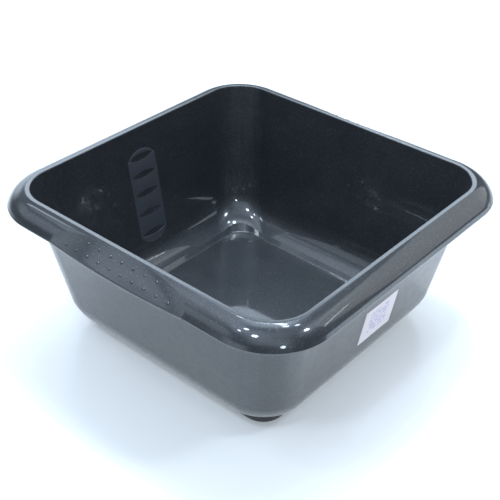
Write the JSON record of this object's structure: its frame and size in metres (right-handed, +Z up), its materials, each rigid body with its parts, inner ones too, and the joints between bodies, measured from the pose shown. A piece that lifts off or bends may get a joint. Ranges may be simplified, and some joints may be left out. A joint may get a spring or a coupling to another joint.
{
  "type": "mortar mixing tub",
  "caption": "Square plastic mixing tub with leaning walls, a shallow foot, a rolled rim, bowed grips with raised dots, an inside graduation strip and a paper label.",
  "frame": {"origin": "middle of the underside of the foot", "axes": "+Z up out of the open top; the two grips are on the -X and +X sides; the label is outside the -Y wall and the graduation strip inside the +Y wall"},
  "size_m": [0.328, 0.323, 0.141],
  "materials": {
    "tub_plastic": "glossy dark charcoal moulded plastic with a fine metallic fleck",
    "label_paper": "matt white label paper with faint blue print"
  },
  "bodies": {
    "root": {"tub": "tub_plastic", "label": "label_paper"}
  },
  "joints": []
}
